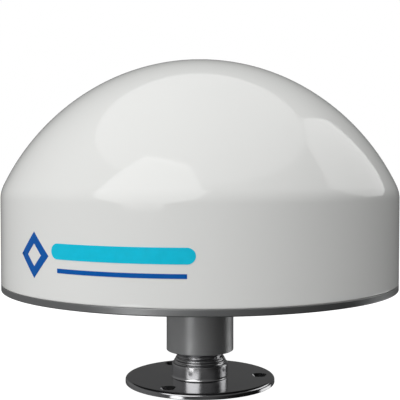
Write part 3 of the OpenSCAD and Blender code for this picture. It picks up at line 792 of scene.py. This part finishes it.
def receiver_board():
    """Ring-shaped laminate with a hole over each standoff."""
    piece = lathe("receiver_board_ring", rounded([
        (BOARD_HOLE_R, BOARD_Z, 0.1), (BOARD_R, BOARD_Z, 0.1), (BOARD_R, BOARD_TOP, 0.1),
        (BOARD_HOLE_R, BOARD_TOP, 0.1)]), 160)
    drill(piece, (cylinder(1.5, BOARD_Z - 1, BOARD_TOP + 1), STANDOFFS))
    dress(piece, "receiver_board")


def chips():
    """Chips and coils with their leads, in a printed frame. A flat chip has a dot at its first lead."""
    bodies, leads, printed = bmesh.new(), bmesh.new(), bmesh.new()
    for x, y, length, width, height in CHIPS:
        flat = height < FLAT_CHIP
        add_soft_block(bodies, (length, width, height), (x, y), BOARD_TOP, 0.16 if flat else 0.5)
        if flat:
            dot = cylinder(0.3, BOARD_TOP + height - 0.05, BOARD_TOP + height + 0.02)
            add_lathe(printed, dot, 16, (x - length / 2 + 1, y + width / 2 - 1))
        count = int(length - 1.2) if flat else 1
        wide = 0.4 if flat else 0.6 * length
        for side in (-1, 1):
            for i in range(count):
                lead_x = x + i - (count - 1) / 2
                for deep, tall, out in ((0.9, 0.14, 0.6), (0.35, 0.5 * height, 0.1)):
                    add_block(leads, (wide, deep, tall), (lead_x, y + side * (width / 2 + out)), BOARD_TOP)
        frame_l, frame_w = length + 1.2, width + 3
        for side in (-1, 1):
            add_block(printed, (frame_l, 0.16, 0.03), (x, y + side * frame_w / 2), BOARD_TOP)
            add_block(printed, (0.16, frame_w, 0.03), (x + side * frame_l / 2, y), BOARD_TOP)
    dress(as_object("chip_bodies", bodies, 20), "board_chips")
    dress(as_object("chip_leads", leads, 20), slot="tinned_steel")
    dress(as_object("board_print", printed, 20), slot="membrane_film")


def passives():
    """Small parts with tinned ends, strewn where the board is free."""
    kept_off = [(x, y, length / 2 + 1.6, width / 2 + 2.4) for x, y, length, width, _ in CHIPS]
    kept_off += [(*SHIELD, 21.5, 17.5), (*CELL, 13.5, 13.5), (*HEADER, 11.5, 4.5), (*COAX_LOW, 5, 5)]
    kept_off += [(p.x, p.y, 5, 5) for p in STANDOFFS]
    small, ends = bmesh.new(), bmesh.new()
    placed = 0
    while placed < 150:
        spot = polar(random.uniform(BOARD_HOLE_R + 3, BOARD_R - 3), random.uniform(0, 360))
        if any(abs(spot.x - x) < wide and abs(spot.y - y) < deep for x, y, wide, deep in kept_off):
            continue
        length = random.choice((1.0, 1.6, 1.6, 2.0))
        turn = random.choice((0, 90))
        add_block(small, (length * 0.6, length / 2, length * 0.32), spot, BOARD_TOP, turn)
        for side in (-1, 1):
            shift = polar(side * length * 0.4, turn)
            add_block(ends, (length * 0.22, length / 2 + 0.02, length * 0.33), spot + shift, BOARD_TOP, turn)
        kept_off.append((spot.x, spot.y, 1.9, 1.9))
        placed += 1
    dress(as_object("board_passives", small, 20), slot="patch_ceramic")
    dress(as_object("board_passive_ends", ends, 20), slot="tinned_steel")


def shield_cans():
    """Pressed cans over the receiver's and the amplifier's circuits, with a grid of dimples in each."""
    for node, (x, y), size, z, face in (
            ("receiver_shield", SHIELD, (40, 32, 5), BOARD_TOP, BOARD_TOP + 5),
            ("lna_shield", (0, 0), (36, 30, 4), LNA_Z - 4, LNA_Z - 4)):
        can = bmesh.new()
        add_soft_block(can, size, (x, y), z, 0.5)
        piece = as_object(node + "_can", can, 20)
        dimples = bmesh.new()
        for i in range(6):
            for j in range(4):
                add_lathe(dimples, cylinder(0.6, face - 0.3, face + 0.3), 20,
                          (x + (i - 2.5) * 5, y + (j - 1.5) * 5))
        combine(piece, dimples, "DIFFERENCE")
        smooth(piece, 20)
        dress(piece, node)


def clock_cell():
    """Coin cell with a stepped edge, in its round holder."""
    low, seat, top = BOARD_TOP, BOARD_TOP + 1, BOARD_TOP + 4.2
    lathed("cell_holder", (rounded([(0, low), (12, low, 0.2), (12, top, 0.4), (10, top, 0.2),
                                    (10, seat, 0.1), (0, seat)]), [CELL]), sides=96)
    lathed("backup_cell", (rounded([(0, seat), (10, seat, 0.3), (10, low + 3.4, 0.5), (8.4, low + 3.5, 0.2),
                                    (8.3, top, 0.3), (0, top)]), [CELL]), sides=96)


def header_and_plug():
    """Header on the board and the leads' plug on it, with a rib for each lead."""
    x, y = HEADER
    for node, size, z in (("board_header", (20, 6, 6), BOARD_TOP),
                          ("harness_plug", (18, 5, 6), BOARD_TOP + 6)):
        shell = bmesh.new()
        add_soft_block(shell, size, HEADER, z, 0.4)
        for lead_x in HEADER_LEADS:
            add_soft_block(shell, (1.6, 0.5, 3), (x + lead_x, y - size[1] / 2), z + 1.5, 0.12)
        dress(as_object(node + "_shell", shell, 20), node)


def board_fixings():
    """Spacers under the board and the screws into them."""
    hexagon("board_standoffs", "board_spacers", 3, PLATE_TOP, BOARD_Z, STANDOFFS, 1.5, 0.3, (2.4, 2.2))
    pan_screws("board_screws", STANDOFFS, BOARD_TOP, 1.5, 2.75, 2, 6)


def harness():
    """Six leads from the connector's pins to the plug, along given points."""
    plug_top, start, y = BOARD_TOP + 12, 62, HEADER[1]
    wires = bmesh.new()
    pin_order = (3, 4, 2, 1, 6, 0)
    for x, pin in zip(HEADER_LEADS, pin_order):
        p = PINS[pin]
        add_tube(wires, curve([
            (p.x, p.y, start), (p.x, p.y, start + 4), (p.x * 1.1, p.y + 1, start + 8 - p.y),
            ((x + p.x) / 2, p.y / 2 + 8, start + 16 - p.y), (x, y - 8, plug_top + 9 - p.y),
            (x, y - 1, plug_top + 5), (x, y, plug_top + 2), (x, y, plug_top)]), 0.65, Vector((1, 0, 0)))
    dress(as_object("harness_leads", wires, 60), "harness_wires")


def coax():
    """Coaxial jumper between the boards, along given points, with its plugs and sockets."""
    top, low = Vector((*COAX_TOP, LNA_Z - 10)), Vector((*COAX_LOW, BOARD_TOP + 10))
    straight = Vector((0, 0, 3))
    lead = bmesh.new()
    add_tube(lead, curve([
        top, top - straight, top - 2 * straight, (25.5, -2, 102), (29, -6, 93), (37, -12, 86),
        (46, -16.5, 82), low + 2 * straight, low + straight, low]), 1.25, Vector((0, 1, 0)))
    dress(as_object("coax_lead", lead, 60), "coax_jumper")
    for node, outline in (("coax_sockets", [(0, 0), (2.6, 0, 0.1), (2.6, 4, 0.3), (0, 4)]),
                          ("coax_plugs", [(0, 4), (3.4, 4, 0.2), (3.4, 6.6, 0.2), (3.05, 6.8), (3.05, 7.6),
                                          (3.4, 7.8, 0.2), (3.4, 10, 0.6), (0, 10)])):
        lathed(node, ([(r, BOARD_TOP + z) for r, z in rounded(outline)], [COAX_LOW]),
               ([(r, LNA_Z - z) for r, z in rounded(outline)], [COAX_TOP]), sides=48)


def ground_plane():
    """Three stepped choke rings round a raised platform, with studs under it for the amplifier board."""
    low, deck = GROUND_Z, GROUND_Z + 2.5
    wall, lip, channel = 1.5, 0.4, 16.5
    outline = [(35, low, 0.2), (86, low, 0.3)]
    for radius, height in ((86, 116), (69.5, 122), (53, 128)):
        outline += [(radius, height, lip), (radius - wall, height, lip), (radius - wall, deck, 0.5)]
        outline += [(radius - channel, deck, 0.5)]
    outline += [(36.5, PLATFORM_Z, 0.4), (0, PLATFORM_Z), (0, PLATFORM_Z - 2.5)]
    outline += [(35, PLATFORM_Z - 2.5, 0.4)]
    piece = lathe("ground_plane_rings", rounded(outline), 192)
    studs = bmesh.new()
    for place in LNA_SCREWS:
        add_lathe(studs, cylinder(3, LNA_Z + 1.6, PLATFORM_Z - 1.2), 40, place)
    combine(piece, studs, "UNION")
    drill(piece, (cylinder(1.5, low - 1, deck + 1), POSTS),
          (cylinder(1.2, PLATFORM_Z - 4, PLATFORM_Z + 1), LOWER_FEEDS + UPPER_FEEDS),
          (cylinder(1.5, PLATFORM_Z - 4, PLATFORM_Z + 1), [(0, 0)]),
          (cylinder(1.25, LNA_Z, LNA_Z + 6), LNA_SCREWS))
    dress(piece, "ground_plane")
    hexagon("antenna_posts", "antenna_pillars", 4, PLATE_TOP, low, POSTS, 1.5, 0.4, (3, 2.2))
    pan_screws("ground_screws", POSTS, deck, 1.5, 2.75, 2, 8)
    pan_screws("lna_screws", LNA_SCREWS, LNA_Z, 1.25, 2.2, 1.6, 5, -1)


def amplifier_board():
    """Round laminate under the platform, with holes for its screws and the feed pins."""
    top = LNA_Z + 1.6
    board = lathe("lna_board_disc", rounded([(0, LNA_Z), (30, LNA_Z, 0.1), (30, top, 0.1), (0, top)]), 128)
    drill(board, (cylinder(1.25, LNA_Z - 1, LNA_Z + 3), LNA_SCREWS),
          (cylinder(0.5, LNA_Z - 1, LNA_Z + 3), LOWER_FEEDS + UPPER_FEEDS))
    dress(board, "lna_board")


def patches():
    """Two stacked ceramic patches, their foils, the solder on the feed pins and the centre screw."""
    thick, pin_r, clear_r, screw_r = 6, 0.5, 1.2, 1.5
    foils = None
    for node, radius, low, feeds, passing in (
            ("lower_patch", 32, PLATFORM_Z, LOWER_FEEDS, UPPER_FEEDS),
            ("upper_patch", 22, PLATFORM_Z + PATCH_STEP, UPPER_FEEDS, [])):
        top, foil_top = low + thick, low + PATCH_STEP
        outline = rounded([(0, low), (radius, low, 0.3), (radius, top, 0.4), (0, top)])
        disc = lathe(node + "_disc", outline, 128)
        drill(disc, (cylinder(screw_r, low - 1, top + 1), [(0, 0)]),
              (cylinder(pin_r, low - 1, top + 1), feeds + passing))
        dress(disc, node)
        foil = bmesh.new()
        add_lathe(foil, rounded([(screw_r, top), (radius - 4, top, 0.05), (radius - 4, foil_top, 0.05),
                                 (screw_r, foil_top)]), 128)
        if foils is None:
            foils = as_object("patch_foils", foil)
        else:
            combine(foils, foil, "UNION")
        drill(foils, (cylinder(pin_r, top - 1, top + 1), feeds),
              (cylinder(clear_r, top - 1, top + 1), passing))
    dress(foils, "patch_metal")
    solder = bmesh.new()
    for feeds, z in ((LOWER_FEEDS, PLATFORM_Z + PATCH_STEP), (UPPER_FEEDS, PLATFORM_Z + 2 * PATCH_STEP)):
        drop = [(0, z), (1.1, z), (0.95, z + 0.12), (0.6, z + 0.3), (0.3, z + 0.4), (0, z + 0.42)]
        for place in feeds:
            add_lathe(solder, drop, 24, place)
    dress(as_object("feed_solder", solder, 60), slot="tinned_steel")
    pan_screws("patch_screw", [(0, 0)], PLATFORM_Z + 2 * PATCH_STEP, screw_r, 2.75, 2, 14.9)


def socketed(node, outline, socket, places, turn):
    """Screws in a node's places, from their outline and that of the hexagon socket cut into them."""
    bodies, sockets = bmesh.new(), bmesh.new()
    for place in places:
        add_lathe(bodies, outline, 48, place)
        add_lathe(sockets, socket, 6, place, turn)
    piece = as_object(node.removesuffix("s") + "_bodies", bodies)
    combine(piece, sockets, "DIFFERENCE")
    dress(piece, node)


def fixings():
    """Countersunk screws under the plate, cap screws over the hub and the brass inserts."""
    low = PLATE_Z
    socketed("base_screws", [(0, low), (3.9, low), (4, low + 0.1), (2, low + 2.1), (2, low + 10.7),
                             (1.7, low + 11), (0, low + 11)],
             [(0, low - 0.1), (1.75, low - 0.1), (1.45, low + 0.15), (1.45, low + 1.4), (0, low + 1.4)],
             BASE_SCREWS, 10)
    low, seat = PLATE_Z - 4.7, PLATE_TOP
    socketed("hub_screws", rounded([(0, low), (2, low, 0.3), (2, seat), (3.5, seat, 0.1),
                                    (3.5, seat + 4, 0.4), (0, seat + 4)]),
             [(0, seat + 2), (1.7, seat + 2), (1.7, seat + 3.8), (2, seat + 4.1), (0, seat + 4.1)],
             HUB_SCREWS, 20)
    low = PLATE_TOP + 0.3
    lathed("radome_inserts", (rounded([
        (2, low, 0.2), (2.8, low, 0.2), (2.8, low + 3.4), (2.5, low + 3.6), (2.5, low + 4.4),
        (2.8, low + 4.6), (2.8, low + 8, 0.2), (2, low + 8)]), BASE_SCREWS), sides=40)


def carried_nodes():
    """The CAD nodes that stay as they are take their slot's material."""
    for name, node in frame["nodes"].items():
        if not node.hide_render:
            node.data.materials.clear()
            node.data.materials.append(MATERIALS[SLOT_OF[name]])


deck_flange()
mount_stud()
hub()
base_plate()
radome()
badges()
vent()
connector()
receiver_board()
chips()
passives()
shield_cans()
clock_cell()
header_and_plug()
board_fixings()
harness()
coax()
ground_plane()
amplifier_board()
patches()
fixings()
carried_nodes()


# ---------------- stage: floor, lights, camera

def shining(name, radiance):
    """A material that only shines, very slightly warm."""
    made = bpy.data.materials.new(name)
    made.use_nodes = True
    nodes = made.node_tree.nodes
    nodes.remove(nodes["Principled BSDF"])
    light = add_node(made.node_tree, "Emission", {"Color": (1, 1, 0.995, 1), "Strength": radiance})
    feed(nodes["Material Output"], {"Surface": light.outputs[0]})
    return made


def towards(azimuth, elevation):
    """The way to a point in the room. Azimuth 0 is the camera's side, and 90 its right."""
    a, e = math.radians(azimuth), math.radians(elevation)
    return Vector((math.sin(a) * math.cos(e), -math.cos(a) * math.cos(e), math.sin(e)))


# azimuth, elevation and reach in degrees, radiance, and the share of it seen in reflections
ROOM_GLOWS = [
    (-100, 5, 65, 0.52, 0.42),
    (-20, -30, 60, 0.62, 0.15),
    (20, 35, 60, 0.28, 0.5),
    (175, 20, 70, 0.24, 0.4),
    (100, 45, 40, 0.26, 1),
]


LAMP_AWAY = 2.2
LAMP_AIM = Vector((0, 0, 0.1))


def softbox(name, azimuth, elevation, half_w, half_h, radiance):
    """An octagonal lamp front, given by its direction and the angles it spans from the object."""
    mesh = bmesh.new()
    wide, tall = math.tan(math.radians(half_w)) * LAMP_AWAY, math.tan(math.radians(half_h)) * LAMP_AWAY
    cut = 0.42
    corners = [(1, -cut), (1, cut), (cut, 1), (-cut, 1), (-1, cut), (-1, -cut), (-cut, -1), (cut, -1)]
    mesh.faces.new([mesh.verts.new((x * wide, y * tall, 0)) for x, y in corners])
    made = as_object(name, mesh)
    away = towards(azimuth, elevation)
    made.location = LAMP_AIM + away * LAMP_AWAY
    made.rotation_mode = "QUATERNION"
    made.rotation_quaternion = away.to_track_quat("Z", "Y")
    made.data.materials.append(shining(name, radiance))
    made.visible_camera = False


def overhead(half_angle, radiance):
    """A round lamp straight above."""
    data = bpy.data.lights.new("overhead", "AREA")
    data.shape = "DISK"
    data.size = 2 * LAMP_AWAY * math.tan(math.radians(half_angle))
    data.energy = radiance * math.pi * math.pi * (data.size / 2) ** 2
    made = bpy.data.objects.new("overhead", data)
    made.location = LAMP_AIM + Vector((0, 0, LAMP_AWAY))
    made.visible_camera = False
    bpy.context.scene.collection.objects.link(made)


def floor():
    """Pale floor, just under the flange: bright to the camera, dim in reflections and clear from below."""
    mesh = bmesh.new()
    bmesh.ops.create_grid(mesh, x_segments=1, y_segments=1, size=6)
    made = as_object("floor", mesh)
    made.location = (0, 0, -0.0003)
    material = bpy.data.materials.new("floor")
    material.use_nodes = True
    tree = material.node_tree
    base = tree.nodes["Principled BSDF"]
    seen = add_node(tree, "LightPath").outputs["Is Camera Ray"]
    feed(base, {"Base Color": (0.3, 0.3, 0.3, 1), "Roughness": 0.9, "Specular IOR Level": 0.1,
                "Emission Color": (1, 1, 1, 1), "Emission Strength": seen})
    under = add_node(tree, "NewGeometry").outputs["Backfacing"]
    clear = add_node(tree, "BsdfTransparent").outputs[0]
    mixed = add_node(tree, "MixShader", {0: under, 1: base.outputs[0], 2: clear})
    feed(tree.nodes["Material Output"], {"Surface": mixed.outputs[0]})
    made.data.materials.append(material)
    made.visible_glossy = False
    made.visible_diffuse = False


def world():
    """White behind the object, and soft glows in a dark room for everything that isn't seen directly."""
    made = bpy.data.worlds.new("room")
    made.use_nodes = True
    bpy.context.scene.world = made
    tree = made.node_tree
    place = add_node(tree, "TexCoord").outputs["Generated"]
    seen = add_node(tree, "LightPath").outputs
    total = 0.01
    for azimuth, elevation, reach, radiance, mirrored in ROOM_GLOWS:
        facing = add_node(tree, "VectorMath", {0: place, 1: towards(azimuth, elevation)},
                          operation="DOT_PRODUCT").outputs["Value"]
        strength = add_node(tree, "MapRange", {
            "Value": seen["Is Glossy Ray"], "To Min": radiance, "To Max": radiance * mirrored}).outputs[0]
        fade = add_node(tree, "MapRange", {
            "Value": facing, "From Min": math.cos(math.radians(reach)), "To Max": strength},
            interpolation_type="SMOOTHSTEP").outputs[0]
        total = add_node(tree, "Math", {0: total, 1: fade}).outputs[0]
    dim = tree.nodes["Background"]
    feed(dim, {"Color": total})
    white = add_node(tree, "Background", {"Color": (1, 1, 1, 1)})
    mixed = add_node(tree, "MixShader", {
        0: seen["Is Camera Ray"], 1: dim.outputs[0], 2: white.outputs[0]})
    feed(tree.nodes["World Output"], {"Surface": mixed.outputs[0]})


def camera():
    """The photograph's view, from the fit of its perspective to the round edges."""
    data = bpy.data.cameras.new("camera")
    data.lens = 76.8
    data.sensor_width = 36
    data.clip_start = 0.01
    made = bpy.data.objects.new("camera", data)
    place, aim = Vector((0, -0.4564, 0.1126)), Vector((0, 0, 0.0973))
    made.location = place
    made.rotation_euler = (aim - place).to_track_quat("-Z", "Y").to_euler()
    bpy.context.scene.collection.objects.link(made)
    bpy.context.scene.camera = made


softbox("softbox_front", -30, 30, 28, 32, 2.1)
softbox("softbox_side", 112, 28, 22, 21.5, 1.35)
softbox("strip_left", -35, -17, 9, 6, 2.9)
softbox("strip_right", 120, -17, 16, 6, 1.6)
overhead(40, 0.75)
floor()
world()
camera()
bpy.context.scene.view_settings.view_transform = "Standard"
